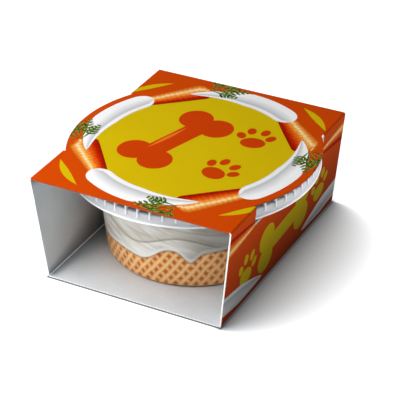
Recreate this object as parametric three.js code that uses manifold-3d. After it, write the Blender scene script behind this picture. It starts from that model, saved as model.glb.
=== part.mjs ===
// A shut plastic pot of yogurt, held by its rim in a sleeve of folded board with open ends.
// Millimetres, +Z up. X runs across the sleeve, whose open ends face -Y (front) and +Y (back).
// The origin lies on the surface the sleeve stands on, below the middle of the two round tabs.
import * as THREE from 'three';
import { mergeVertices } from 'three/addons/utils/BufferGeometryUtils.js';
import Module from 'manifold-3d';

// Sleeve
const BOARD = 0.6;
const SLEEVE_HEIGHT = 42;
const SLEEVE_DEPTH = 96;
const TOP_WIDTH = 83.6;
const FLOOR_WIDTH = 73.6;
const SLEEVE_X = -1.1;
const FOLD_RADIUS = 1;
const FOLD_STEPS = 4;

// Round tabs of the top panel, and the slots below them in the side walls
const TAB_RADIUS = 48.5;
const TAB_STEPS = 160;
const SLOT_DROP = 8.6;
const SLOT_CLEARANCE = 0.5;

// Pot as a whole
const POT_STEPS = 124;
const GAP = 0.3;

// Cup
const BASE_RADIUS = 34.8;
const BASE_ROUNDING = 1.6;
const BASE_ROUNDING_STEPS = 3;
const NECK_RADIUS = 37.4;
const NECK_Z = 34.2;
const FLANGE_RADIUS = 45.4;
const FLANGE_THICKNESS = 0.7;

// Lid with a ribbed edge and a lip below it
const LIP_Z = 35.2;
const LIP_RADIUS = 48;
const LIP_THICKNESS = 0.8;
const LIP_ROUNDING = 0.35;
const BAND_FOOT_RADIUS = 47.4;
const BAND_TOP_RADIUS = 46.9;
const BAND_TOP_Z = 39.4;
const LID_TOP_RADIUS = 45.1;
const LID_TOP_Z = 41;

// Ribs round the lid's edge
const RIB_COUNT = 62;
const RIB_WIDTH = 0.7;
const RIB_RADIUS = 47.5;
const RIB_FOOT_Z = 37.3;
const RIB_FOOT_SLOPE = 0.6;
const RIB_ROOT_RADIUS = 44;

const ORANGE_PRINT = 0xcb4805;
const WAFFLE_PRINT = 0xd79a5c;
const MILKY_PLASTIC = 0xdfe0e2;

const wasm = await Module();
wasm.setup();

// A closed three.js geometry as a solid that can be joined and cut.
function toSolid(geometry) {
  const bare = geometry.index ? geometry.toNonIndexed() : geometry.clone();
  bare.deleteAttribute('normal');
  bare.deleteAttribute('uv');
  const merged = mergeVertices(bare, 1e-5);
  const corners = merged.index.array;
  const triangles = [];
  for (let i = 0; i < corners.length; i += 3) {
    const [a, b, c] = corners.slice(i, i + 3);
    if (a !== b && b !== c && c !== a) triangles.push(a, b, c);
  }
  const mesh = new wasm.Mesh({
    numProp: 3,
    vertProperties: new Float32Array(merged.attributes.position.array),
    triVerts: new Uint32Array(triangles),
  });
  return new wasm.Manifold(mesh);
}

function toGeometry(solid) {
  const mesh = solid.getMesh();
  const geometry = new THREE.BufferGeometry();
  geometry.setAttribute('position', new THREE.BufferAttribute(mesh.vertProperties, 3));
  geometry.setIndex(new THREE.BufferAttribute(mesh.triVerts, 1));
  geometry.computeVertexNormals();
  return geometry;
}

function boxSolid(low, high) {
  const size = high.map((value, axis) => value - low[axis]);
  const middle = high.map((value, axis) => (value + low[axis]) / 2);
  return toSolid(new THREE.BoxGeometry(...size).translate(...middle));
}

// A solid of revolution about the pot's axis; the profile runs from the axis below to the axis above.
function turnedSolid(profile) {
  const points = profile.map(([radius, z]) => new THREE.Vector2(radius, z));
  const lathe = new THREE.LatheGeometry(points, POT_STEPS);
  return toSolid(lathe.rotateX(Math.PI / 2));
}

// Half the sleeve's outer width at a height, and how much of it one board takes up.
const WALL_LEAN = (TOP_WIDTH - FLOOR_WIDTH) / 2 / SLEEVE_HEIGHT;
const BOARD_ACROSS = BOARD * Math.hypot(1, WALL_LEAN);
const halfWidthAt = (z) => FLOOR_WIDTH / 2 + WALL_LEAN * z;

// The sleeve's section between two heights, with its folds rounded.
function sectionPath(path, lowZ, highZ, inset, rounding) {
  const corners = [[-1, lowZ], [1, lowZ], [1, highZ], [-1, highZ]].map(
    ([side, z]) => new THREE.Vector2(SLEEVE_X + side * (halfWidthAt(z) - inset), z),
  );
  corners.forEach((corner, i) => {
    const before = corners[(i + 3) % 4];
    const after = corners[(i + 1) % 4];
    const start = corner.clone().add(before.clone().sub(corner).setLength(rounding));
    const end = corner.clone().add(after.clone().sub(corner).setLength(rounding));
    if (i === 0) path.moveTo(start.x, start.y);
    else path.lineTo(start.x, start.y);
    path.quadraticCurveTo(corner.x, corner.y, end.x, end.y);
  });
  path.closePath();
  return path;
}

function sleeveTube() {
  const section = sectionPath(new THREE.Shape(), 0, SLEEVE_HEIGHT, 0, FOLD_RADIUS);
  const inside = sectionPath(
    new THREE.Path(), BOARD, SLEEVE_HEIGHT - BOARD, BOARD_ACROSS, FOLD_RADIUS - BOARD,
  );
  section.holes.push(inside);
  const tube = new THREE.ExtrudeGeometry(section, {
    depth: SLEEVE_DEPTH, bevelEnabled: false, curveSegments: FOLD_STEPS,
  });
  return toSolid(tube.rotateX(Math.PI / 2).translate(0, SLEEVE_DEPTH / 2, 0));
}

// Half the length of a side's slot: where the lip, with clearance, passes the wall's inner face.
function slotHalfLength(side) {
  const wall = Math.abs(SLEEVE_X + side * (halfWidthAt(LIP_Z) - BOARD_ACROSS));
  return Math.sqrt((LIP_RADIUS + SLOT_CLEARANCE) ** 2 - wall ** 2);
}

function slotCut(side) {
  const reach = slotHalfLength(side);
  const inner = SLEEVE_X + side * (halfWidthAt(SLEEVE_HEIGHT - SLOT_DROP) - 2 * BOARD);
  const outer = SLEEVE_X + side * (halfWidthAt(SLEEVE_HEIGHT) + BOARD);
  return boxSolid(
    [Math.min(inner, outer), -reach, SLEEVE_HEIGHT - SLOT_DROP],
    [Math.max(inner, outer), reach, SLEEVE_HEIGHT - BOARD],
  );
}

// The disc whose two sides stand out past the folds as tabs, cut off between the slots' ends.
function tabDisc() {
  const disc = new THREE.CylinderGeometry(TAB_RADIUS, TAB_RADIUS, BOARD, TAB_STEPS);
  disc.rotateX(Math.PI / 2).translate(0, 0, SLEEVE_HEIGHT - BOARD / 2);
  const reach = slotHalfLength(1);
  const strip = boxSolid(
    [-TAB_RADIUS - 1, -reach, 0],
    [TAB_RADIUS + 1, reach, SLEEVE_HEIGHT + 1],
  );
  return toSolid(disc).intersect(strip);
}

function sleeveSolid() {
  return sleeveTube().subtract(slotCut(-1)).subtract(slotCut(1)).add(tabDisc());
}

function cupSolid() {
  const floor = BOARD + GAP;
  const profile = [[0, floor]];
  for (let i = 0; i <= BASE_ROUNDING_STEPS; i += 1) {
    const angle = (i / BASE_ROUNDING_STEPS) * (Math.PI / 2);
    profile.push([
      BASE_RADIUS - BASE_ROUNDING * (1 - Math.sin(angle)),
      floor + BASE_ROUNDING * (1 - Math.cos(angle)),
    ]);
  }
  profile.push(
    [NECK_RADIUS, NECK_Z],
    [NECK_RADIUS + LIP_Z - NECK_Z, LIP_Z],
    [FLANGE_RADIUS, LIP_Z],
    [FLANGE_RADIUS, LIP_Z + FLANGE_THICKNESS],
    [0, LIP_Z + FLANGE_THICKNESS],
  );
  return turnedSolid(profile);
}

function ribSolid(angle) {
  const side = new THREE.Shape([
    [RIB_ROOT_RADIUS, LID_TOP_Z],
    [RIB_ROOT_RADIUS, RIB_FOOT_Z],
    [BAND_TOP_RADIUS, RIB_FOOT_Z],
    [RIB_RADIUS, RIB_FOOT_Z + RIB_FOOT_SLOPE],
    [RIB_RADIUS, LID_TOP_Z],
  ].map(([radius, z]) => new THREE.Vector2(radius, z)));
  const rib = new THREE.ExtrudeGeometry(side, { depth: RIB_WIDTH, bevelEnabled: false });
  rib.translate(0, 0, -RIB_WIDTH / 2).rotateX(Math.PI / 2).rotateZ(angle);
  return toSolid(rib);
}

function lidSolid() {
  const seat = LIP_Z + FLANGE_THICKNESS + GAP;
  const lipTop = LIP_Z + LIP_THICKNESS;
  let lid = turnedSolid([
    [0, seat],
    [FLANGE_RADIUS + GAP, seat],
    [FLANGE_RADIUS + GAP, LIP_Z],
    [LIP_RADIUS - LIP_ROUNDING, LIP_Z],
    [LIP_RADIUS, LIP_Z + LIP_ROUNDING],
    [LIP_RADIUS, lipTop],
    [BAND_FOOT_RADIUS, lipTop + LIP_ROUNDING],
    [BAND_TOP_RADIUS, BAND_TOP_Z],
    [LID_TOP_RADIUS, BAND_TOP_Z],
    [LID_TOP_RADIUS, LID_TOP_Z],
    [0, LID_TOP_Z],
  ]);
  for (let i = 0; i < RIB_COUNT; i += 1) {
    lid = lid.add(ribSolid((i / RIB_COUNT) * 2 * Math.PI));
  }
  return lid;
}

function mesh(name, solid, colour, roughness) {
  const material = new THREE.MeshStandardMaterial({ color: colour, roughness, metalness: 0 });
  const piece = new THREE.Mesh(toGeometry(solid), material);
  piece.name = name;
  return piece;
}

const pot = new THREE.Group();
pot.add(mesh('cup', cupSolid(), WAFFLE_PRINT, 0.35));
pot.add(mesh('lid', lidSolid(), MILKY_PLASTIC, 0.3));

const pack = new THREE.Group();
pack.add(mesh('sleeve', sleeveSolid(), ORANGE_PRINT, 0.45));
pack.add(pot);

export default pack;
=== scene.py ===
"""Looks of a sleeved yogurt pot: a printed board sleeve, a printed cup and a ribbed milky lid edge.

Sizes are in millimetres, and become metres where a mesh is made. Angles are in degrees, and the phases of
waves in radians. The frame is the model's own: +Z up, X across the sleeve, and the sleeve's open ends
facing -Y (front) and +Y (back).
"""
import math
from bisect import bisect_right

import bmesh
import bpy
from mathutils import Matrix, Vector
from mathutils.geometry import delaunay_2d_cdt


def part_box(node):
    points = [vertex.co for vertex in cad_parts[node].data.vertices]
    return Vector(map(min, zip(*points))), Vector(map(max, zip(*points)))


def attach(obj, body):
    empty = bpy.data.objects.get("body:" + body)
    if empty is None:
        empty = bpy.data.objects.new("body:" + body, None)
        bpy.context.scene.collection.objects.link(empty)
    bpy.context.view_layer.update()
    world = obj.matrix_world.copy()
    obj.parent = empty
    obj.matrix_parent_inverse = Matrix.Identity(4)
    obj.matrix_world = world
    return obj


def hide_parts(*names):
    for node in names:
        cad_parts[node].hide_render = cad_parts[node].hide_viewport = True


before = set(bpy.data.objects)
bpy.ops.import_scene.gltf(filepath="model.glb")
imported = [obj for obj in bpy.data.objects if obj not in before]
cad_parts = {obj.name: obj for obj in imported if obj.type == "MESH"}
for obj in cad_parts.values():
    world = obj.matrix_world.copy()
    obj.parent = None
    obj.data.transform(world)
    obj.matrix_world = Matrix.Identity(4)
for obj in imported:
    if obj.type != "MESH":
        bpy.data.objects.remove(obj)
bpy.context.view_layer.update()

MM = 0.001
BODY = "root"
TOUCH = 0.01
MERGE_DISTANCE = 0.001
CUT_TOLERANCE = 1e-5


def box_mm(node):
    """Lowest and highest corner of a node of the model, in millimetres."""
    low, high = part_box(node)
    return low / MM, high / MM


# Sleeve
SLEEVE_LOW, SLEEVE_HIGH = box_mm("sleeve")
SLEEVE_HEIGHT = SLEEVE_HIGH.z
SLEEVE_DEPTH = SLEEVE_HIGH.y - SLEEVE_LOW.y
BOARD = 0.6
TOP_WIDTH = 83.6
FLOOR_WIDTH = 73.6
SLEEVE_X = -1.1
FOLD_RADIUS = 0.75
FOLD_STEPS = 6

# Raised creases inside the folds
CREASE_RADIUS = 0.35
CREASE_SIDES = 10
CREASE_SETBACK = 0.4

# Painted shade close to the folds inside the sleeve: how far it reaches, and where it fades to the right
FOLD_SHADE_FRONT = 4.0
FOLD_SHADE_INSIDE = 18.0
FOLD_SHADE_FULL_X = -10.0
FOLD_SHADE_END_X = 15.0
FOLD_SHADE_POWER = 2.5

# Round tabs of the top panel, and the slots below them in the side walls
TAB_RADIUS = (SLEEVE_HIGH.x - SLEEVE_LOW.x) / 2
TAB_STEPS = 72
SLOT_DROP = 8.6
SLOT_CLEARANCE = 0.5

# Cup
CUP_LOW, CUP_HIGH = box_mm("cup")
CUP_BASE_Z = CUP_LOW.z
CUP_STEPS = 192
BASE_RADIUS = 34.8
BASE_ROUNDING = 1.6
NECK_RADIUS = 37.4
NECK_DROP = 1.0
FLANGE_RADIUS = (CUP_HIGH.x - CUP_LOW.x) / 2
FLANGE_TOP_Z = CUP_HIGH.z
FLANGE_ROUNDING = 0.15

# Lid edge: a lip, a band above it, and the plain top
LID_LOW, LID_HIGH = box_mm("lid")
POT_Y = (LID_LOW.y + LID_HIGH.y) / 2
LIP_RADIUS = (LID_HIGH.x - LID_LOW.x) / 2
LIP_Z = LID_LOW.z
LIP_THICKNESS = 0.8
LIP_TOP_Z = LIP_Z + LIP_THICKNESS
LID_GAP = 0.3
BAND_FOOT_RADIUS = 47.4
BAND_FILLET = 0.3
BAND_TOP_RADIUS = 46.9
BAND_TOP_Z = 39.4
BAND_SHOULDER = 0.35
LID_TOP_RADIUS = 45.1
LID_TOP_Z = LID_HIGH.z
LID_TOP_FILLET = 0.2
LID_TOP_BEVEL = 0.1
SHARP_EDGE = 40

# Ribs: how far they stand out at heights from their foot, and across them in half widths from their middle
RIB_COUNT = 62
RIB_WIDTH = 0.7
RIB_RADIUS = 47.5
RIB_FOOT_Z = 37.3
RIB_RISE = ((-0.9, 0.0), (-0.3, 0.0), (0.0, 0.45), (0.18, 0.8), (0.45, 1.0), (1.0, 1.0), (1.6, 1.0))
RIB_SECTION = ((-1.45, 0.0), (-1.05, 0.35), (-0.85, 0.8), (-0.5, 1.0), (0.0, 1.0))

# Painted shade in the recess between the ribs: where it starts and where it is darkest, below the band's
# top
RECESS_DROP = 0.9
RECESS_FULL_DROP = 0.1

# Printed shapes: steps along an outline, and proportions of bone, paw, carrot and cream
OUTLINE_STEPS = 28
THINNEST_STROKE = 0.05
UNPRINTED = [(0.0, 0.0)]
KNOB_SPREAD = 0.82
PAD_SIZE = 0.42
PAD_STRETCH = 1.3
TOE_SIZE = 0.2
TOE_STRETCH = 1.35
TOE_LEAN = 0.6
TOES = ((-52, 0.82), (-18, 0.98), (18, 0.98), (52, 0.82))
ROOT_CROWN = 0.09
ROOT_TAPER = 0.62
CREAM_FULL = 0.5
CREAM_GROWTH = 0.7
CREAM_END = 0.88

# Fronds of a carrot's top: turn and length of each, and the leaflets on its stalk
FRONDS = ((-50, 1.9), (-27, 2.4), (-5, 2.8), (19, 2.5), (44, 2.0))
STALK_HALF_WIDTH = 0.5
LEAFLET_PAIRS = 5
FIRST_LEAFLET = 0.36
LAST_LEAFLET = 0.96
LEAFLET_TURN = 44
LEAFLET_LENGTH = 0.42
LEAFLETS_END = 1.2
LEAFLET_HALF_WIDTH = 0.62

# Print on the top panel, about the middle of the tabs: a round field, and a ring that repeats each quarter
DISC_RADIUS = 38.3
DISC_STEPS = 96
CARROT_RADIUS = 43.5
CARROT_TURN = 20
CARROT_HEADING = 136
CARROT_LENGTH = 42
CARROT_HALF_WIDTH = 6.3
CREAM_RADIUS = 40.6
CREAM_TURNS = (121, 52)
CREAM_HALF_WIDTH = 5.0
DASH_RADIUS = 50.6
DASH_TURNS = (38, 61)
DASH_HALF_WIDTH = 1.5
BONE_HEADING = 72

# Print on the cup: the waffle's cells, and the cream's lower edge with its rises, drips and ripples
WAFFLE_CELLS = 58
WAFFLE_RISE = 4.9
CREAM_EDGE_Z = 11.7
CREAM_EDGE_RISE = 5.4
DRIP_LENGTH = 4.4
RIPPLE = 0.35

# Folds that run round the cream in waves: strength, height, swing, waves in one turn, and phase
CREAM_FOLDS = ((1.0, 20.6, 2.5, 6, 2.72), (0.5, 26.0, 1.8, 4, 1.3), (0.35, 30.6, 1.2, 7, 0.4))

# Studio floor, and its painted shadow beside the right wall and in a thin line round the sleeve
FLOOR_Z = -0.2
FLOOR_HALF = 3000
BACKDROP_HEIGHT = 3000
SHADE_REACH = 34.0
SHADE_HALF_LENGTH = 49.0
SHADE_END_FALL = 8.0
LEAST_NARROWING = 0.0004
CONTACT = 0.55
CONTACT_BLUR = 0.25
FLOOR_GLOW = 0.9
LEAST_FLOOR_GLOW = 0.06

# Lights
SKY_STRENGTH = 0.2
KEY_LIGHT = {"place": (-148, -165, 280), "target": (0, 0, 30), "size": 280, "watts": 1.2}
EDGE_LIGHT = {"place": (215, 140, 110), "target": (44, 10, 38), "size": 120, "watts": 0.4}

# Camera, at the photograph's viewing angle
IMAGE_SIZE = 400
CAMERA_AZIMUTH = 29.157
CAMERA_ELEVATION = 31.815
CAMERA_ROLL = -1.5
CAMERA_DISTANCE = 592.1
CAMERA_TARGET = Vector((20.56, -33.64, 42.0))
FOCAL_PIXELS = 1661.5
SENSOR_WIDTH = 36.0


def paint(red, green, blue):
    """A colour given as 0 to 255 in sRGB, as the linear colour that shaders take."""
    def linear(value):
        share = value / 255
        if share <= 0.04045:
            return share / 12.92
        return ((share + 0.055) / 1.055) ** 2.4
    return (linear(red), linear(green), linear(blue), 1.0)


WHITE = (1.0, 1.0, 1.0, 1.0)
ORANGE = paint(208, 72, 3)
MARK_ORANGE = paint(202, 62, 4)
SHINE_ORANGE = paint(232, 116, 34)
YELLOW = paint(212, 182, 8)
INSIDE_BOARD = (paint(200, 203, 206), paint(213, 216, 219))
FOLD_SHADE = paint(94, 112, 126)
CUT_EDGE = (paint(250, 250, 249), paint(254, 254, 253))
# Painted shade: cut edges along the top panel are dark orange, not white like other cut edges, so they
# don't look lit
TOP_EDGE = (paint(176, 66, 20), paint(190, 76, 26))
# Crease beads whiter than the inside board: partly the white core a crease shows, partly a painted
# highlight, cooled against warm bounced light
CREASE_WHITE_AND_HIGHLIGHT = (paint(240, 248, 254), paint(244, 251, 255))


class Field:
    """A number that varies over a surface: a node socket that takes part in sums."""

    def __init__(self, shader, socket):
        self.shader = shader
        self.socket = socket

    def then(self, operation, other=0.0):
        made = self.shader.node("ShaderNodeMath", {0: self, 1: other}, operation=operation)
        return Field(self.shader, made.outputs[0])

    def __add__(self, other):
        return self.then("ADD", other)

    def __sub__(self, other):
        return self.then("SUBTRACT", other)

    def __mul__(self, other):
        return self.then("MULTIPLY", other)

    def __truediv__(self, other):
        return self.then("DIVIDE", other)

    def power(self, exponent):
        return self.then("POWER", exponent)

    def larger(self, other):
        return self.then("MAXIMUM", other)

    def smaller(self, other):
        return self.then("MINIMUM", other)

    def absolute(self):
        return self.then("ABSOLUTE")

    def sine(self):
        return self.then("SINE")

    def inverse(self):
        """1 where this number is 0, and 0 where it is 1."""
        return self * -1.0 + 1.0

    def nearness_to_cell_edge(self):
        """0 in the middle of each whole step of this number, 1 at its ends."""
        return (self.then("FRACT") - 0.5).absolute() * 2

    def between(self, low, high):
        """0 below low, 1 above high, and smooth in between."""
        made = self.shader.node(
            "ShaderNodeMapRange",
            {"Value": self, "From Min": low, "From Max": high},
            interpolation_type="SMOOTHSTEP",
        )
        return Field(self.shader, made.outputs["Result"])

    def band(self, low, full_from, full_to, high):
        """0 below low and above high, 1 from full_from to full_to, and smooth in between."""
        return self.between(low, full_from) * self.between(full_to, high).inverse()


class Shader:
    """A new material, with short calls for the nodes used here."""

    BUMP_STRENGTH = 0.6

    # The mix node's sockets for colours, whose names those for numbers share
    MIX_SHARE, MIX_FIRST, MIX_SECOND, MIX_RESULT = 0, 6, 7, 2

    def __init__(self, name):
        self.material = bpy.data.materials.new(name)
        self.material.use_nodes = True
        self.tree = self.material.node_tree
        self.surface = self.tree.nodes["Principled BSDF"]

    def set(self, name, value):
        """Sets an input of the surface, to one value all over or to what a node gives."""
        self.feed(self.surface.inputs[name], value)

    def feed(self, socket, value):
        if isinstance(value, Field):
            value = value.socket
        if isinstance(value, bpy.types.NodeSocket):
            self.tree.links.new(value, socket)
        else:
            socket.default_value = value

    def node(self, kind, inputs, **settings):
        made = self.tree.nodes.new(kind)
        for name, value in settings.items():
            setattr(made, name, value)
        for name, value in inputs.items():
            self.feed(made.inputs[name], value)
        return made

    def position(self):
        return self.node("ShaderNodeTexCoord", {}).outputs["Object"]

    def place(self, axis):
        """Where a point lies along X, Y or Z, in millimetres."""
        split = self.node("ShaderNodeSeparateXYZ", {"Vector": self.position()})
        return Field(self, split.outputs[axis]) / MM

    def map_coordinates(self):
        """The two numbers of the mesh's map: along and across a print, or round and up a pot."""
        coordinates = self.node("ShaderNodeUVMap", {}, uv_map="print").outputs["UV"]
        split = self.node("ShaderNodeSeparateXYZ", {"Vector": coordinates})
        return Field(self, split.outputs["X"]), Field(self, split.outputs["Y"])

    def noise(self, size, detail=2.0, stretch=(1, 1, 1)):
        """Cloudy noise between 0 and 1, with blobs of a size in millimetres."""
        scaled = self.node("ShaderNodeMapping", {"Vector": self.position(), "Scale": stretch})
        made = self.node(
            "ShaderNodeTexNoise",
            {"Vector": scaled.outputs[0], "Scale": 1 / (size * MM), "Detail": detail},
        )
        return Field(self, made.outputs["Fac"])

    def ramp(self, field, stops):
        """A colour that follows a number through (position, colour) stops."""
        made = self.node("ShaderNodeValToRGB", {"Fac": field})
        elements = made.color_ramp.elements
        while len(elements) < len(stops):
            elements.new(1.0)
        for element, (position, colour) in zip(elements, stops):
            element.position = position
            element.color = colour
        return made.outputs["Color"]

    def mix(self, share, first, second, blend="MIX"):
        made = self.node("ShaderNodeMix", {}, data_type="RGBA", blend_type=blend)
        self.feed(made.inputs[self.MIX_SHARE], share)
        self.feed(made.inputs[self.MIX_FIRST], first)
        self.feed(made.inputs[self.MIX_SECOND], second)
        return made.outputs[self.MIX_RESULT]

    def tone(self, colour, field, least, most):
        """A colour darkened or lightened by a number that runs from 0 to 1."""
        factor = self.ramp(field, [(0.0, (least,) * 3 + (1.0,)), (1.0, (most,) * 3 + (1.0,))])
        return self.mix(1.0, colour, factor, "MULTIPLY")

    def finish(self, colour, roughness, grain, bump_depth):
        """Sets colour, a roughness that varies with the grain, and the grain's relief in millimetres."""
        low, high = roughness
        self.set("Base Color", colour)
        self.set("Roughness", grain * (high - low) + low)
        bump = self.node(
            "ShaderNodeBump",
            {"Height": grain, "Distance": bump_depth * MM, "Strength": self.BUMP_STRENGTH},
        )
        self.set("Normal", bump.outputs["Normal"])
        return self.material


# Board and print materials

def varnished(shader, colour):
    """Satin varnish over print on board, whose fibres show faintly, with painted shade that darkens it
    down the walls.
    """
    clouds = shader.noise(size=14.0)
    fibres = shader.noise(size=0.35, detail=3.0, stretch=(1.0, 0.45, 1.0))
    rise = shader.place("Z") / SLEEVE_HEIGHT
    toned = shader.tone(colour, clouds * 0.6 + fibres * 0.4, least=0.93, most=1.06)
    # Painted shade: the colour darkens with lower height, to about a third at the floor, where the walls
    # fall into shade
    toned = shader.tone(toned, rise.power(1.4), least=0.36, most=1.0)
    shader.set("Specular IOR Level", 0.012)
    return shader.finish(toned, roughness=(0.42, 0.56), grain=fibres, bump_depth=0.02)


def cream_print():
    """White strokes with a soft grey hollow along one side."""
    shader = Shader("print_cream")
    _, across = shader.map_coordinates()
    shade = shader.ramp(across * 0.5 + 0.5, [
        (0.0, paint(236, 236, 238)),
        (0.16, paint(246, 246, 247)),
        (0.25, paint(196, 196, 200)),
        (0.45, paint(222, 222, 224)),
        (0.72, paint(248, 248, 249)),
        (1.0, paint(250, 250, 250)),
    ])
    return varnished(shader, shade)


def carrot_print():
    """Orange roots, dark red along one edge and pale near the other, with fine cross lines."""
    shader = Shader("print_carrot")
    along, across = shader.map_coordinates()
    lines = shader.noise(size=1.1, detail=3.0)
    place = across * -0.5 + 0.5 + (lines - 0.5) * 0.14
    body = shader.ramp(place, [
        (0.0, paint(142, 10, 0)),
        (0.2, paint(194, 32, 2)),
        (0.42, paint(234, 100, 14)),
        (0.6, paint(248, 168, 66)),
        (0.72, paint(254, 226, 170)),
        (0.82, paint(244, 160, 62)),
        (1.0, paint(206, 80, 8)),
    ])
    rings = (along * 130.0 + lines * 9.0).sine() * 0.5 + 0.5
    return varnished(shader, shader.tone(body, rings * 0.5 + lines * 0.5, least=0.78, most=1.14))


def leaf_print():
    shader = Shader("print_leaf")
    _, across = shader.map_coordinates()
    blotches = shader.noise(size=1.4, detail=3.0)
    green = shader.ramp(blotches + across * 0.18, [
        (0.3, paint(32, 58, 18)),
        (0.52, paint(80, 110, 40)),
        (0.72, paint(148, 162, 70)),
    ])
    return varnished(shader, green)


def fold_openness(shader):
    """1 on open board, and less close to a fold, where painted shade falls: further from it deep inside,
    and only on the left.
    """
    depth = shader.place("Y").between(-SLEEVE_DEPTH / 2, 0.0)
    reach = depth * ((FOLD_SHADE_INSIDE - FOLD_SHADE_FRONT) * MM) + FOLD_SHADE_FRONT * MM
    free_sky = shader.node("ShaderNodeAmbientOcclusion", {"Distance": reach}, only_local=True)
    to_the_right = shader.place("X").between(FOLD_SHADE_FULL_X, FOLD_SHADE_END_X)
    return Field(shader, free_sky.outputs["AO"]).power(FOLD_SHADE_POWER).larger(to_the_right)


def board_material(name, colours, shaded_folds=False):
    """Bare folding board with fine fibres, which can have painted shade close to its folds."""
    shader = Shader(name)
    clouds = shader.noise(size=9.0, detail=3.0)
    fibres = shader.noise(size=0.4, detail=4.0, stretch=(1.0, 0.35, 1.0))
    darker, lighter = colours
    colour = shader.ramp(clouds * 0.5 + fibres * 0.5, [(0.3, darker), (0.7, lighter)])
    if shaded_folds:
        # Painted shade: the board turns to the dark grey of FOLD_SHADE where folds crowd in, on the left
        # side only
        colour = shader.mix(fold_openness(shader), FOLD_SHADE, colour)
    shader.set("Specular IOR Level", 0.2)
    return shader.finish(colour, roughness=(0.62, 0.8), grain=fibres, bump_depth=0.03)


def sleeve_materials():
    """The material of each kind of surface on the sleeve."""
    return {
        "orange": varnished(Shader("print_orange"), ORANGE),
        "yellow": varnished(Shader("print_yellow"), YELLOW),
        "mark": varnished(Shader("print_mark"), MARK_ORANGE),
        "shine": varnished(Shader("print_shine"), SHINE_ORANGE),
        "carrot": carrot_print(),
        "cream": cream_print(),
        "leaf": leaf_print(),
        "inside": board_material("board_inside", INSIDE_BOARD, shaded_folds=True),
        "cut_edge": board_material("board_cut_edge", CUT_EDGE),
        "top_edge": board_material("board_top_edge", TOP_EDGE),
    }


# Printed shapes, on the unfolded board

class Panel:
    """A flat face of the sleeve with its own two axes, placed on the unfolded board."""

    def __init__(self, side, origin, across, up):
        self.side = side
        self.origin = Vector(origin)
        self.axes = Matrix((across, up)).transposed()

    def on_board(self, point):
        return self.origin + self.axes @ point

    def from_board(self, point):
        return self.axes.inverted() @ (point - self.origin)


def heading(degrees):
    return Vector((math.cos(math.radians(degrees)), math.sin(math.radians(degrees))))


def clamp(value, low, high):
    return min(max(value, low), high)


class Stroke:
    """A straight stroke from a start point, whose half width follows how far along it a point lies."""

    def __init__(self, start, degrees, length, half_width, steps=OUTLINE_STEPS):
        self.start = Vector(start)
        self.along = heading(degrees)
        self.across = heading(degrees + 90)
        self.length = length
        self.half_width = half_width
        self.steps = steps

    def middle(self, share):
        return self.start + self.along * (self.length * share)

    def sideways(self, share):
        return self.across

    def outline(self):
        """Right side, then left side, with points closest together at both ends."""
        shares = [0.5 - 0.5 * math.cos(math.pi * i / self.steps) for i in range(self.steps + 1)]
        left = [self.middle(s) + self.sideways(s) * self.half_width(s) for s in shares]
        right = [self.middle(s) - self.sideways(s) * self.half_width(s) for s in shares]
        return right + left[::-1]

    def place_across(self, along, offset):
        """Along as it is, and an offset from the middle as -1 to 1."""
        half = max(self.half_width(along), THINNEST_STROKE)
        return along, clamp(offset / half, -1.0, 1.0)

    def locate(self, point):
        """How far along (0 to 1) and across (-1 to 1) the stroke a point lies."""
        offset = point - self.start
        along = clamp(offset.dot(self.along) / self.length, 0.0, 1.0)
        return self.place_across(along, offset.dot(self.across))


class ArcStroke(Stroke):
    """A stroke along an arc about the panel's origin; across runs outward."""

    def __init__(self, radius, start_degrees, end_degrees, half_width):
        self.radius = radius
        self.start_degrees = start_degrees
        self.span = end_degrees - start_degrees
        self.half_width = half_width
        self.steps = OUTLINE_STEPS

    def middle(self, share):
        return self.sideways(share) * self.radius

    def sideways(self, share):
        return heading(self.start_degrees + self.span * share)

    def outline(self):
        points = super().outline()
        return points if self.span < 0 else points[::-1]

    def locate(self, point):
        turn = math.degrees(math.atan2(point.y, point.x)) - self.start_degrees
        turn = (turn + 180) % 360 - 180
        along = clamp(turn / self.span, 0.0, 1.0)
        return self.place_across(along, point.length - self.radius)


class Spot:
    """A round or oval spot."""

    def __init__(self, middle, radius, stretch=1.0, degrees=0.0, steps=OUTLINE_STEPS):
        self.middle = Vector(middle)
        self.along = heading(degrees) * radius * stretch
        self.across = heading(degrees + 90) * radius
        self.steps = steps

    def outline(self):
        turns = [heading(360 * i / self.steps) for i in range(self.steps)]
        return [self.middle + self.along * turn.x + self.across * turn.y for turn in turns]

    def locate(self, point):
        offset = point - self.middle
        return (offset.dot(self.along) / self.along.length_squared,
                offset.dot(self.across) / self.across.length_squared)


def root_taper(half_width):
    """A carrot: a round crown and a long taper to the tip."""
    def width(s):
        crown = max(0.0, 1.0 - s / ROOT_CROWN)
        return half_width * math.sqrt(max(0.0, 1.0 - crown * crown)) * (1.0 - s) ** ROOT_TAPER
    return width


def cream_taper(half_width):
    """A stroke of cream: a thin start that soon fills out, and a round end."""
    def width(s):
        full = half_width * min(1.0, s / CREAM_FULL) ** CREAM_GROWTH
        end = max(0.0, (s - CREAM_END) / (1.0 - CREAM_END))
        return full * math.sqrt(max(0.0, 1.0 - end * end))
    return width


def swoosh_taper(half_width):
    """A stroke with two pointed ends."""
    return lambda s: half_width * math.sin(math.pi * s)


def bone(middle, degrees, length, half_width, knob):
    """A bone: a shaft with two round knobs at each end."""
    along = heading(degrees)
    across = heading(degrees + 90)
    middle = Vector(middle)
    shapes = [Stroke(middle - along * (length / 2), degrees, length, lambda s: half_width)]
    for end in (-1, 1):
        for side in (-1, 1):
            centre = middle + along * (end * length / 2) + across * (side * knob * KNOB_SPREAD)
            shapes.append(Spot(centre, knob))
    return shapes


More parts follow.
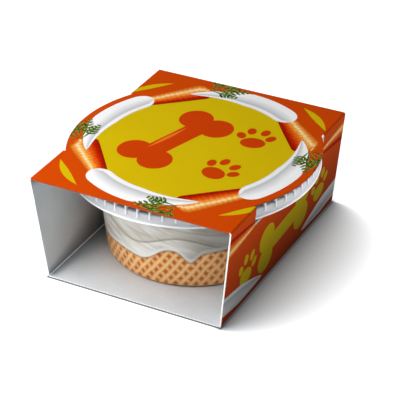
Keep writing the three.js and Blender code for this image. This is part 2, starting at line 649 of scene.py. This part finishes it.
def paw(middle, degrees, size):
    """A paw: one broad pad and four toes, pointing along a heading."""
    middle = Vector(middle)
    shapes = [Spot(middle, size * PAD_SIZE, stretch=PAD_STRETCH, degrees=degrees + 90)]
    for turn, reach in TOES:
        centre = middle + heading(degrees + turn) * (size * reach)
        lean = degrees + turn * TOE_LEAN
        shapes.append(Spot(centre, size * TOE_SIZE, stretch=TOE_STRETCH, degrees=lean))
    return shapes


def frond(start, degrees, length):
    """A feathery leaf: a stalk with pairs of leaflets, shorter towards the tip."""
    stalk = Stroke(start, degrees, length, swoosh_taper(STALK_HALF_WIDTH), steps=8)
    shapes = [stalk]
    for i in range(LEAFLET_PAIRS):
        share = FIRST_LEAFLET + (LAST_LEAFLET - FIRST_LEAFLET) * i / (LEAFLET_PAIRS - 1)
        foot = stalk.middle(share)
        reach = length * LEAFLET_LENGTH * (LEAFLETS_END - share)
        for turn in (-LEAFLET_TURN, LEAFLET_TURN):
            shapes.append(Stroke(foot, degrees + turn, reach, swoosh_taper(LEAFLET_HALF_WIDTH), steps=6))
    return shapes


def carrot_top(crown, degrees, size):
    """The fronds that spread from a carrot's crown, about a heading."""
    shapes = []
    for turn, reach in FRONDS:
        shapes += frond(crown, degrees + turn, size * reach)
    return shapes


def of_kind(kind, shapes):
    return [(kind, shape) for shape in shapes]


def top_print():
    """The round field with a bone and paws, and a ring of carrots and cream round it."""
    roots, tops, creams, dashes = [], [], [], []
    for turn in (0, 90, 180, 270):
        crown = heading(turn + CARROT_TURN) * CARROT_RADIUS
        direction = turn + CARROT_HEADING
        roots.append(Stroke(crown, direction, CARROT_LENGTH, root_taper(CARROT_HALF_WIDTH)))
        tops += carrot_top(crown, direction + 180, CARROT_HALF_WIDTH)
        start, end = CREAM_TURNS
        creams.append(ArcStroke(CREAM_RADIUS, turn + start, turn + end, cream_taper(CREAM_HALF_WIDTH)))
        start, end = DASH_TURNS
        dashes.append(ArcStroke(DASH_RADIUS, turn + start, turn + end, swoosh_taper(DASH_HALF_WIDTH)))
    marks = of_kind("mark", bone((-8.5, 1.0), BONE_HEADING, length=32, half_width=4.6, knob=6.8))
    marks.append(("shine", Stroke((-15.2, -9.5), BONE_HEADING, length=21, half_width=swoosh_taper(0.8))))
    marks += of_kind("mark", paw((16, -15), degrees=70, size=9.0))
    marks += of_kind("mark", paw((19, 11), degrees=100, size=9.0))
    fields = dashes + [Spot((0, 0), DISC_RADIUS, steps=DISC_STEPS)]
    ring = of_kind("carrot", roots) + of_kind("cream", creams) + of_kind("leaf", tops)
    return of_kind("yellow", fields) + marks + ring


def wall_print():
    """A bone between two paws, with a carrot above and a stroke of cream below at each end."""
    marks = bone((0, 17), degrees=4, length=30, half_width=4.0, knob=6.0)
    marks += paw((-31, 13), degrees=80, size=8.5)
    marks += paw((31, 15), degrees=96, size=8.5)
    roots = [
        Stroke((-57, 35), degrees=0, length=32, half_width=root_taper(5.2)),
        Stroke((57, 35), degrees=180, length=32, half_width=root_taper(5.2)),
    ]
    creams = [
        Stroke((-16, 4.0), degrees=171, length=38, half_width=cream_taper(4.2)),
        Stroke((18, 4.0), degrees=8, length=36, half_width=cream_taper(3.8)),
    ]
    return of_kind("yellow", marks) + of_kind("carrot", roots) + of_kind("cream", creams)


# Sleeve

def rounded(corner, before, after):
    """The arc that rounds a fold from one heading to the next, clockwise: (point, outward) pairs."""
    turn = before.angle(after)
    inward = Vector((before.y, -before.x))
    start = corner - before * (FOLD_RADIUS * math.tan(turn / 2))
    steps = []
    for i in range(FOLD_STEPS + 1):
        angle = turn * i / FOLD_STEPS
        outward = before * math.sin(angle) - inward * math.cos(angle)
        steps.append((start + (inward + outward) * FOLD_RADIUS, outward))
    return steps


def half_girth():
    """The sleeve's outer section, right half, from the top panel's middle to the floor's.

    Each knot is (distance along the board, place, outward), with places from the sleeve's middle.
    """
    top = Vector((TOP_WIDTH / 2, SLEEVE_HEIGHT))
    foot = Vector((FLOOR_WIDTH / 2, 0))
    down = (foot - top).normalized()
    path = [(Vector((0, SLEEVE_HEIGHT)), Vector((0, 1)))]
    path += rounded(top, Vector((1, 0)), down)
    path += rounded(foot, down, Vector((-1, 0)))
    path.append((Vector((0, 0)), Vector((0, -1))))
    knots = [(0.0, *path[0])]
    for (before, _), (after, outward) in zip(path, path[1:]):
        knots.append((knots[-1][0] + (after - before).length, after, outward))
    return knots


GIRTH = half_girth()
REACHES = [knot[0] for knot in GIRTH]
TOP_BEND = REACHES[1]
MIDDLE_OF_BEND = REACHES[1 + FOLD_STEPS // 2]
WALL_START = GIRTH[1 + FOLD_STEPS]
WALL_END = GIRTH[2 + FOLD_STEPS]
FLOOR_START = REACHES[-2]
GIRTH_END = REACHES[-1]
TAB_MIDDLE = Vector((-SLEEVE_X, POT_Y))
SLEEVE_ENDS = (-SLEEVE_DEPTH / 2, SLEEVE_DEPTH / 2)


def slot_foot():
    """Distance along the board from the top panel's middle to the slot's lower edge."""
    (start, high, _), (end, low, _) = WALL_START, WALL_END
    share = (high.y - (SLEEVE_HEIGHT - SLOT_DROP)) / (high.y - low.y)
    return start + share * (end - start)


def slot_reach(side):
    """Half a slot's length: where the lip, with clearance, passes the wall's inner face."""
    lean = (TOP_WIDTH - FLOOR_WIDTH) / 2 / SLEEVE_HEIGHT
    inside = FLOOR_WIDTH / 2 + lean * LIP_Z - BOARD * math.hypot(1, lean)
    return math.sqrt((LIP_RADIUS + SLOT_CLEARANCE) ** 2 - (inside + side * SLEEVE_X) ** 2)


def slot_outline(side):
    """A side's slot on the unfolded board: straight in the wall, round where the tab is cut free."""
    reach = slot_reach(side)
    spread = math.asin(reach / TAB_RADIUS)
    outline = [Vector((side * slot_foot(), POT_Y + end * reach)) for end in (-1, 1)]
    for i in range(TAB_STEPS + 1):
        angle = spread * (1 - 2 * i / TAB_STEPS)
        outline.append(TAB_MIDDLE + Vector((side * math.cos(angle), math.sin(angle))) * TAB_RADIUS)
    return outline if side > 0 else outline[::-1]


def side_of(point):
    return 1 if point.x > 0 else -1


def is_on_tab(point):
    near = (point - TAB_MIDDLE).length < TAB_RADIUS + TOUCH
    return near and abs(point.x) > TOP_BEND and abs(point.y - POT_Y) < slot_reach(side_of(point))


def panel_at(point):
    """Which panel a point of the board lies on: 0 for the top, 1 or -1 for the right or left wall."""
    if is_on_tab(point) or abs(point.x) < MIDDLE_OF_BEND:
        return 0
    return side_of(point)


def fold(point, depth=0.0):
    """A point of the unfolded board, folded up into the sleeve, at a depth below its printed face."""
    if is_on_tab(point):
        return Vector((SLEEVE_X + point.x, point.y, SLEEVE_HEIGHT - depth))
    along = min(abs(point.x), GIRTH_END)
    index = min(bisect_right(REACHES, along), len(GIRTH) - 1)
    start, first, first_outward = GIRTH[index - 1]
    end, second, second_outward = GIRTH[index]
    share = (along - start) / (end - start)
    place = first.lerp(second, share) - first_outward.lerp(second_outward, share) * depth
    return Vector((SLEEVE_X + side_of(point) * place.x, point.y, place.y))


def fold_lines():
    """Lines on the unfolded board, front to back, where its section bends."""
    lines = []
    for along in REACHES[:-1]:
        for side in (-1, 1):
            lines.append([Vector((side * along, y)) for y in SLEEVE_ENDS])
    return lines


def imprint(outlines, lines):
    """One flat mesh of triangles in which every outline and line is cut, and each triangle's outlines."""
    points, edges, faces = [], [], []
    for outline in outlines:
        faces.append(list(range(len(points), len(points) + len(outline))))
        points += outline
    for line in lines:
        edges.append((len(points), len(points) + 1))
        points += line
    triangles_inside = 1
    made = delaunay_2d_cdt(points, edges, faces, triangles_inside, CUT_TOLERANCE)
    all_points, _, triangles, _, _, owners = made
    return all_points, triangles, owners


def merge_points(mesh):
    """Joins points that lie on each other, and drops those that no face uses."""
    shape = bmesh.new()
    shape.from_mesh(mesh)
    bmesh.ops.remove_doubles(shape, verts=shape.verts, dist=MERGE_DISTANCE * MM)
    loose = [v for v in shape.verts if not v.link_faces]
    bmesh.ops.delete(shape, geom=loose, context="VERTS")
    shape.to_mesh(mesh)
    shape.free()


def new_mesh(name, points, faces):
    """A mesh made from points in millimetres."""
    mesh = bpy.data.meshes.new(name)
    mesh.from_pydata([Vector(p) * MM for p in points], [], faces)
    return mesh


def new_object(name, data):
    made = bpy.data.objects.new(name, data)
    bpy.context.scene.collection.objects.link(made)
    return made


def set_map(mesh, maps):
    """Gives each corner of each face its two numbers in the map for the materials."""
    layer = mesh.uv_layers.new(name="print")
    for polygon, places in zip(mesh.polygons, maps):
        for loop, place in zip(polygon.loop_indices, places):
            layer.data[loop].uv = place


def new_piece(name, mesh, slot, *nodes):
    """Adds a piece of the object, riding on its body and standing for nodes of the model."""
    piece = new_object(name, mesh)
    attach(piece, BODY)
    if nodes:
        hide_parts(*nodes)
    return piece


def lone_edges(faces):
    """Edges that only one face uses, each in that face's direction."""
    edges = {pair for face in faces for pair in zip(face, face[1:] + face[:1])}
    return sorted((a, b) for a, b in edges if (b, a) not in edges)


def sleeve_prints():
    """Every printed shape with the panel it lies on, the lowest layer first."""
    top = Panel(0, TAB_MIDDLE, (1, 0), (0, 1))
    walls = [Panel(side, (side * FLOOR_START, 0), (0, side), (-side, 0)) for side in (1, -1)]
    prints = [(top, kind, shape) for kind, shape in top_print()]
    for wall in walls:
        prints += [(wall, kind, shape) for kind, shape in wall_print()]
    return prints


def printed_board():
    """The unfolded board as triangles: its points, and (corners, kind of surface, map) of each one."""
    prints = sleeve_prints()
    front, back = SLEEVE_ENDS
    ends = ((-GIRTH_END, front), (GIRTH_END, front), (GIRTH_END, back), (-GIRTH_END, back))
    blank = [Vector(end) for end in ends]
    slots = [slot_outline(1), slot_outline(-1)]
    drawn = [[panel.on_board(p) for p in shape.outline()] for panel, _, shape in prints]
    points, triangles, owners = imprint([blank] + slots + drawn, fold_lines())
    first_print = 1 + len(slots)
    board = []
    for corners, inside in zip(triangles, owners):
        on_blank = 0 in inside
        cut_out = any(0 < i < first_print for i in inside)
        if cut_out or not on_blank:
            continue
        side = panel_at(sum((points[i] for i in corners), Vector((0, 0))) / 3)
        printed = [i - first_print for i in inside if i >= first_print]
        here = [i for i in printed if prints[i][0].side == side]
        if not here:
            board.append((corners, "orange", UNPRINTED * 3))
            continue
        panel, kind, shape = prints[max(here)]
        board.append((corners, kind, [shape.locate(panel.from_board(points[i])) for i in corners]))
    return points, board


def cut_edges(points, printed):
    """The board's cut edges, but for its two ends, which meet in the floor panel."""
    below = len(points)
    faces = []
    for a, b in lone_edges(printed):
        if min(abs(points[a].x), abs(points[b].x)) > GIRTH_END - TOUCH:
            continue
        on_top = min(fold(points[a]).z, fold(points[b]).z) > SLEEVE_HEIGHT - TOUCH
        kind = "top_edge" if on_top else "cut_edge"
        faces.append(([b, a, a + below, b + below], kind, UNPRINTED * 4))
    return faces


def make_sleeve():
    points, faces = printed_board()
    below = len(points)
    printed = [corners for corners, _, _ in faces]
    faces += [([i + below for i in reversed(corners)], "inside", UNPRINTED * 3) for corners in printed]
    faces += cut_edges(points, printed)

    places = [fold(p) for p in points] + [fold(p, BOARD) for p in points]
    mesh = new_mesh("sleeve_print", places, [corners for corners, _, _ in faces])
    materials = sleeve_materials()
    for material in materials.values():
        mesh.materials.append(material)
    kinds = list(materials)
    mesh.polygons.foreach_set("material_index", [kinds.index(kind) for _, kind, _ in faces])
    set_map(mesh, [spots for _, _, spots in faces])
    merge_points(mesh)
    return new_piece("printed_sleeve", mesh, "printed_board", "sleeve")


def bead(place, start, end):
    """A thin bead along the sleeve: the ridge that a crease leaves inside a fold."""
    points, faces = [], []
    for y in (start, end):
        for i in range(CREASE_SIDES):
            side = heading(360 * i / CREASE_SIDES) * CREASE_RADIUS
            points.append(Vector((place.x + side.x, y, place.y + side.y)))
    for i in range(CREASE_SIDES):
        after = (i + 1) % CREASE_SIDES
        faces.append((i, i + CREASE_SIDES, after + CREASE_SIDES, after))
    faces.append(tuple(range(CREASE_SIDES)))
    faces.append(tuple(range(2 * CREASE_SIDES - 1, CREASE_SIDES - 1, -1)))
    return points, faces


def fold_insides():
    """Where each of the right half's two folds has its inner corner, from the sleeve's middle."""
    corners = []
    for first in (1, 2 + FOLD_STEPS):
        _, place, outward = GIRTH[first + FOLD_STEPS // 2]
        corners.append(place - outward * BOARD)
    return corners


def make_creases():
    upper, lower = fold_insides()
    front, back = SLEEVE_ENDS
    points, faces = [], []
    for side in (-1, 1):
        reach = slot_reach(side)
        runs = [(lower, front, back), (upper, front, POT_Y - reach), (upper, POT_Y + reach, back)]
        for corner, start, end in runs:
            place = Vector((SLEEVE_X + side * corner.x, corner.y))
            more_points, more_faces = bead(place, start + CREASE_SETBACK, end - CREASE_SETBACK)
            faces += [tuple(i + len(points) for i in face) for face in more_faces]
            points += more_points
    mesh = new_mesh("fold_creases", points, faces)
    mesh.materials.append(board_material("board_crease", CREASE_WHITE_AND_HIGHLIGHT))
    return new_piece("fold_creases", mesh, "printed_board")


# Pot

def arc_profile(middle, radius, start_degrees, end_degrees, steps):
    """Points of an arc in a turned profile, as (radius, height) pairs."""
    points = []
    for i in range(steps + 1):
        point = heading(start_degrees + (end_degrees - start_degrees) * i / steps) * radius
        points.append((middle[0] + point.x, middle[1] + point.y))
    return points


def cup_profile():
    """From the base's middle up the printed wall to the flange's top."""
    neck_z = LIP_Z - NECK_DROP
    wall_steps = 8
    base_middle = (BASE_RADIUS - BASE_ROUNDING, CUP_BASE_Z + BASE_ROUNDING)
    profile = [(0.0, CUP_BASE_Z), (BASE_RADIUS / 2, CUP_BASE_Z)]
    profile += arc_profile(base_middle, BASE_ROUNDING, -90, 0, steps=6)
    foot = profile[-1]
    for i in range(1, wall_steps):
        share = i / wall_steps
        profile.append((foot[0] + (NECK_RADIUS - foot[0]) * share, foot[1] + (neck_z - foot[1]) * share))
    profile += arc_profile((NECK_RADIUS + NECK_DROP, neck_z), NECK_DROP, 180, 90, steps=4)
    profile += [
        (FLANGE_RADIUS - FLANGE_ROUNDING, LIP_Z),
        (FLANGE_RADIUS, LIP_Z + FLANGE_ROUNDING),
        (FLANGE_RADIUS, FLANGE_TOP_Z),
        (0.0, FLANGE_TOP_Z),
    ]
    return profile


def turned_mesh(name, spokes, levels, point_at, map_at):
    """A closed mesh turned about the pot's axis, which its first and last level meet.

    A spoke is (direction, share of a rib). point_at(spoke, level) gives a radius and a height, and
    map_at(spoke, level) the map's two numbers.
    """
    count = len(spokes)
    last = levels - 1
    points = [Vector((0, POT_Y, point_at(spokes[0], 0)[1]))]
    for level in range(1, last):
        for spoke in spokes:
            radius, z = point_at(spoke, level)
            side = heading(spoke[0])
            points.append(Vector((side.x * radius, POT_Y + side.y * radius, z)))
    points.append(Vector((0, POT_Y, point_at(spokes[0], last)[1])))

    faces = []
    for i in range(count):
        faces.append([(i, 0), (i + 1, 1), (i, 1)])
        for level in range(1, last - 1):
            faces.append([(i, level), (i + 1, level), (i + 1, level + 1), (i, level + 1)])
        faces.append([(i, last - 1), (i + 1, last - 1), (i, last)])

    def index(number, level):
        if level == 0:
            return 0
        if level == last:
            return len(points) - 1
        return 1 + (level - 1) * count + number % count

    closed = spokes + [(spokes[0][0] + 360, spokes[0][1])]
    mesh = new_mesh(name, points, [[index(*corner) for corner in face] for face in faces])
    set_map(mesh, [[map_at(closed[number], level) for number, level in face] for face in faces])
    return mesh


def smooth(mesh):
    """Smooth shading, with sharp edges left sharp."""
    mesh.shade_smooth()
    mesh.set_sharp_from_angle(angle=math.radians(SHARP_EDGE))


def wave(turn, waves, phase):
    """A number that swings from -1 to 1, with some waves in one turn round the cup."""
    return (turn * (2 * math.pi * waves) + phase).sine()


def waffle(shader, turn, height):
    """A baked lattice: strong pale ridges one way, soft ones the other, and browned hollows between."""
    around = turn * WAFFLE_CELLS + (shader.noise(size=7.0) - 0.5) * 0.6
    up = height / WAFFLE_RISE
    strong = (around - up).nearness_to_cell_edge()
    soft = (around + up).nearness_to_cell_edge()
    ridge = strong.between(0.3, 1.0).larger(soft.between(0.35, 1.1) * 0.62)
    toast = shader.noise(size=3.2, detail=4.0)
    hollow = shader.ramp(strong.larger(soft * 0.9) + (toast - 0.5) * 0.6, [
        (0.15, paint(188, 90, 18)),
        (0.45, paint(220, 126, 42)),
        (0.8, paint(240, 166, 80)),
    ])
    crust = shader.mix(ridge, hollow, paint(250, 205, 140))
    return shader.tone(crust, toast, least=0.82, most=1.08)


def cream_edge(turn):
    """Height of the cream's lower edge: long sags, high stretches between them, and drips from those."""
    high = wave(turn, waves=3, phase=4.555).between(-0.5, 0.5)
    drips = wave(turn, waves=5, phase=0.96).larger(0.0).power(9.0) * high
    ripples = wave(turn, waves=9, phase=1.0)
    return high * CREAM_EDGE_RISE - drips * DRIP_LENGTH + ripples * RIPPLE + CREAM_EDGE_Z


def streaks(shader, turn, height):
    """Soft streaks that run round the cup and slowly down it."""
    around = turn * 26 + height * 0.12
    up = height * 0.34 + turn * 16
    lane = shader.node("ShaderNodeCombineXYZ", {"X": around, "Y": up})
    made = shader.node(
        "ShaderNodeTexNoise",
        {"Vector": lane.outputs[0], "Scale": 1.0, "Detail": 2.0, "Distortion": 0.7},
    )
    return Field(shader, made.outputs["Fac"])


def whipped_cream(shader, turn, height, edge):
    """White cream with streaks and dark folds, bright along its lower edge, with broad painted shade three
    times round.
    """
    colour = shader.ramp(streaks(shader, turn, height), [
        (0.3, paint(214, 206, 193)),
        (0.48, paint(236, 231, 221)),
        (0.66, paint(254, 251, 245)),
    ])
    for strength, base, swing, waves, phase in CREAM_FOLDS:
        above = height - (wave(turn, waves, phase) * swing + base)
        line = above.band(-0.7, 0.0, 0.0, 0.9)
        shade = above.band(-0.4, 0.3, 0.3, 5.0)
        colour = shader.mix(shade * (0.42 * strength), colour, paint(186, 173, 149))
        colour = shader.mix(line * (0.6 * strength), colour, paint(146, 132, 104))
    rim = (height - edge).band(0.2, 0.7, 0.9, 2.2)
    colour = shader.mix(rim * 0.8, colour, paint(255, 254, 250))
    # Painted shade: the cream darkens three times round the cup, most at the front right, where the sleeve
    # shades it
    cream_painted_shade = wave(turn, waves=3, phase=math.radians(45)).between(-1.0, 0.0)
    return shader.tone(colour, cream_painted_shade, least=0.52, most=0.85)


def cup_material():
    """Cream over a waffle, printed on glossy plastic."""
    shader = Shader("cup_print")
    turn, height = shader.map_coordinates()
    edge = cream_edge(turn)
    covered = (height - edge).between(-0.25, 0.25)
    out_of_shadow = (edge - height).between(0.0, 1.5)
    baked = shader.tone(waffle(shader, turn, height), out_of_shadow, least=0.55, most=1.0)
    colour = shader.mix(covered, baked, whipped_cream(shader, turn, height, edge))
    return shader.finish(colour, roughness=(0.26, 0.36), grain=shader.noise(size=0.8), bump_depth=0.006)


def make_cup():
    profile = cup_profile()
    spokes = [(360 * i / CUP_STEPS, 0.0) for i in range(CUP_STEPS)]
    mesh = turned_mesh(
        "printed_cup", spokes, len(profile),
        point_at=lambda spoke, level: profile[level],
        map_at=lambda spoke, level: (spoke[0] / 360, profile[level][1]),
    )
    mesh.materials.append(cup_material())
    smooth(mesh)
    return new_piece("printed_cup", mesh, "printed_plastic", "cup")


def lid_profile():
    """(plain radius, radius on a rib, height) from the seat's middle to the top's middle."""
    seat_radius = FLANGE_RADIUS + LID_GAP
    seat_z = FLANGE_TOP_Z + LID_GAP
    rounding = LIP_THICKNESS / 2
    fillet_middle = (BAND_FOOT_RADIUS + BAND_FILLET, LIP_TOP_Z + BAND_FILLET)
    shoulder_middle = (BAND_TOP_RADIUS - BAND_SHOULDER, BAND_TOP_Z - BAND_SHOULDER)
    lean = (BAND_TOP_RADIUS - BAND_FOOT_RADIUS) / (BAND_TOP_Z - LIP_TOP_Z)

    plain = [(0.0, seat_z), (seat_radius, seat_z), (seat_radius, LIP_Z)]
    plain += arc_profile((LIP_RADIUS - rounding, LIP_Z + rounding), rounding, -90, 70, steps=8)
    plain += arc_profile(fillet_middle, BAND_FILLET, 250, 180, steps=3)
    profile = [(radius, radius, z) for radius, z in plain]
    for rise, share in RIB_RISE:
        z = RIB_FOOT_Z + rise
        radius = BAND_FOOT_RADIUS + lean * (z - LIP_TOP_Z)
        profile.append((radius, radius + (RIB_RADIUS - radius) * share, z))
    shoulder = arc_profile(shoulder_middle, BAND_SHOULDER, 0, 90, steps=3)
    profile += [(radius, RIB_RADIUS, z) for radius, z in shoulder]
    profile += [
        (LID_TOP_RADIUS + LID_TOP_FILLET, RIB_RADIUS, BAND_TOP_Z),
        (LID_TOP_RADIUS, RIB_RADIUS, BAND_TOP_Z + LID_TOP_FILLET),
        (LID_TOP_RADIUS, RIB_RADIUS, LID_TOP_Z - LID_TOP_BEVEL),
        (LID_TOP_RADIUS, LID_TOP_RADIUS, LID_TOP_Z),
        (0.0, 0.0, LID_TOP_Z),
    ]
    return profile


def rib_spokes():
    """Spokes round the lid, close together over each rib and wide apart between."""
    pitch = 360 / RIB_COUNT
    half = math.degrees(RIB_WIDTH / 2 / RIB_RADIUS)
    offsets = [(place * half, share) for place, share in RIB_SECTION]
    offsets += [(-turn, share) for turn, share in offsets[-2::-1]]
    offsets += [(pitch / 2 - half, 0.0), (pitch / 2 + half, 0.0)]
    return [(pitch * i + turn, share) for i in range(RIB_COUNT) for turn, share in offsets]


def lid_material():
    """Milky plastic, whiter on ribs and lip, partly where they make it thick and partly as painted
    highlight, with painted shade in the recess between the ribs.
    """
    shader = Shader("milky_plastic")
    rib, height = shader.map_coordinates()
    clouds = shader.noise(size=6.0)
    grain = shader.noise(size=0.5)
    # Ribs and lip whiter: partly thicker milky plastic, partly a painted highlight
    colour = shader.ramp(rib + (clouds - 0.5) * 0.12, [
        (0.0, paint(206, 207, 211)),
        (0.35, paint(226, 227, 230)),
        (1.0, paint(250, 250, 251)),
    ])
    # Painted shade: the plastic darkens to about half in the recess under the top panel, but not on the
    # ribs
    recess = height.between(BAND_TOP_Z - RECESS_DROP, BAND_TOP_Z - RECESS_FULL_DROP)
    colour = shader.tone(colour, recess.inverse().larger(rib), least=0.48, most=1.0)
    shader.set("Subsurface Weight", 0.15)
    shader.set("Subsurface Radius", (2 * MM,) * 3)
    return shader.finish(colour, roughness=(0.2, 0.32), grain=grain, bump_depth=0.008)


def make_lid():
    profile = lid_profile()

    def point_at(spoke, level):
        plain, raised, z = profile[level]
        return plain + (raised - plain) * spoke[1], z

    def map_at(spoke, level):
        """1 on the lip and on a rib, 0 elsewhere, and the height."""
        plain, raised, z = profile[level]
        on_lip = 1.0 if z <= LIP_TOP_Z else 0.0
        on_rib = spoke[1] if raised > plain else 0.0
        return max(on_lip, on_rib), z

    mesh = turned_mesh("ribbed_lid", rib_spokes(), len(profile), point_at, map_at)
    mesh.materials.append(lid_material())
    merge_points(mesh)
    smooth(mesh)
    return new_piece("ribbed_lid", mesh, "milky_plastic", "lid")


# Studio

def glowing(shader, colour, grain, strength):
    """A matt surface that also sends out white light."""
    shader.set("Emission Color", WHITE)
    shader.set("Emission Strength", strength)
    shader.set("Specular IOR Level", 0.0)
    return shader.finish(colour, roughness=(0.7, 0.8), grain=grain, bump_depth=0.0)


def floor_material():
    """A pale floor that glows white, with a painted shadow where it glows less: beside the right wall and
    in a thin line round the sleeve.
    """
    shader = Shader("pale_floor")
    grain = shader.noise(size=30.0)
    across = shader.place("X") - SLEEVE_X
    along = shader.place("Y").absolute()
    outside = (across.absolute() - FLOOR_WIDTH / 2).larger(along - SLEEVE_DEPTH / 2)
    # Painted shadow: a thin contact line round the sleeve, where the floor glows less and is darker
    clear = outside.between(CONTACT - CONTACT_BLUR, CONTACT + CONTACT_BLUR)
    share = along / SHADE_HALF_LENGTH
    narrowing = (share * share).inverse().larger(LEAST_NARROWING).power(0.5)
    beside = (across - FLOOR_WIDTH / 2).absolute() / narrowing
    beyond = (along - SLEEVE_DEPTH / 2).larger(0.0) * SHADE_END_FALL
    # Painted shadow beside the right wall: the glow fades to nearly nothing at the wall, and is narrower
    # towards the wall's ends
    glow = ((beside + beyond) / SHADE_REACH).smaller(1.0) * clear
    # Cool grey, so that the warm light the orange wall bounces into the painted shadow looks neutral
    colour = shader.ramp(grain, [(0.0, paint(150, 158, 162)), (1.0, paint(154, 162, 166))])
    colour = shader.tone(colour, clear, least=0.35, most=1.0)
    return glowing(shader, colour, grain, glow * FLOOR_GLOW + LEAST_FLOOR_GLOW)


def backdrop_material():
    shader = Shader("white_backdrop")
    grain = shader.noise(size=200.0)
    colour = shader.ramp(grain, [(0.0, paint(20, 20, 20)), (1.0, paint(22, 22, 22))])
    return glowing(shader, colour, grain, strength=1.0)


def stage_piece(name, points, material):
    """A quadrilateral of the studio, which is no part of the object."""
    mesh = new_mesh(name, points, [(0, 1, 2, 3)])
    mesh.materials.append(material)
    piece = new_object(name, mesh)
    piece.visible_glossy = False
    return piece


def make_studio():
    """The floor, and four white walls far off that are seen but light nothing."""
    corners = [(x * FLOOR_HALF, y * FLOOR_HALF) for x, y in ((-1, -1), (1, -1), (1, 1), (-1, 1))]
    stage_piece("floor", [(x, y, FLOOR_Z) for x, y in corners], floor_material())
    white = backdrop_material()
    for number, (start, end) in enumerate(zip(corners, corners[1:] + corners[:1])):
        lower = [(*start, FLOOR_Z), (*end, FLOOR_Z)]
        upper = [(*end, BACKDROP_HEIGHT), (*start, BACKDROP_HEIGHT)]
        wall = stage_piece(f"backdrop_{number}", lower + upper, white)
        wall.visible_diffuse = False
        wall.visible_shadow = False


def soft_light(name, place, target, size, watts):
    lamp = bpy.data.lights.new(name, "AREA")
    lamp.shape = "DISK"
    lamp.size = size * MM
    lamp.energy = watts
    light = new_object(name, lamp)
    light.location = Vector(place) * MM
    light.rotation_mode = "QUATERNION"
    light.rotation_quaternion = (Vector(target) - Vector(place)).to_track_quat("-Z", "Y")
    return light


def make_light(lid):
    """A dim white sky, a soft key from the front left, and a soft light on the lid's right edge alone."""
    world = bpy.data.worlds.new("studio")
    world.use_nodes = True
    background = world.node_tree.nodes["Background"]
    background.inputs["Color"].default_value = WHITE
    background.inputs["Strength"].default_value = SKY_STRENGTH
    bpy.context.scene.world = world
    soft_light("key", **KEY_LIGHT)
    edge_light = soft_light("edge", **EDGE_LIGHT)
    lit_by_edge = bpy.data.collections.new("lit_by_edge_light")
    lit_by_edge.objects.link(lid)
    edge_light.light_linking.receiver_collection = lit_by_edge
    bpy.context.scene.view_settings.view_transform = "Standard"


def make_camera():
    azimuth = math.radians(CAMERA_AZIMUTH)
    elevation = math.radians(CAMERA_ELEVATION)
    back = Vector((
        math.sin(azimuth) * math.cos(elevation),
        -math.cos(azimuth) * math.cos(elevation),
        math.sin(elevation),
    ))
    right = Vector((math.cos(azimuth), math.sin(azimuth), 0))
    up = back.cross(right)
    turn = Matrix.Rotation(math.radians(CAMERA_ROLL), 3, back)
    axes = Matrix((turn @ right, turn @ up, back)).transposed()
    data = bpy.data.cameras.new("camera")
    data.sensor_width = SENSOR_WIDTH
    data.lens = FOCAL_PIXELS * SENSOR_WIDTH / IMAGE_SIZE
    camera = new_object("camera", data)
    place = (CAMERA_TARGET + back * CAMERA_DISTANCE) * MM
    camera.matrix_world = Matrix.Translation(place) @ axes.to_4x4()
    bpy.context.scene.camera = camera


make_camera()
make_sleeve()
make_creases()
make_cup()
lid = make_lid()
make_studio()
make_light(lid)
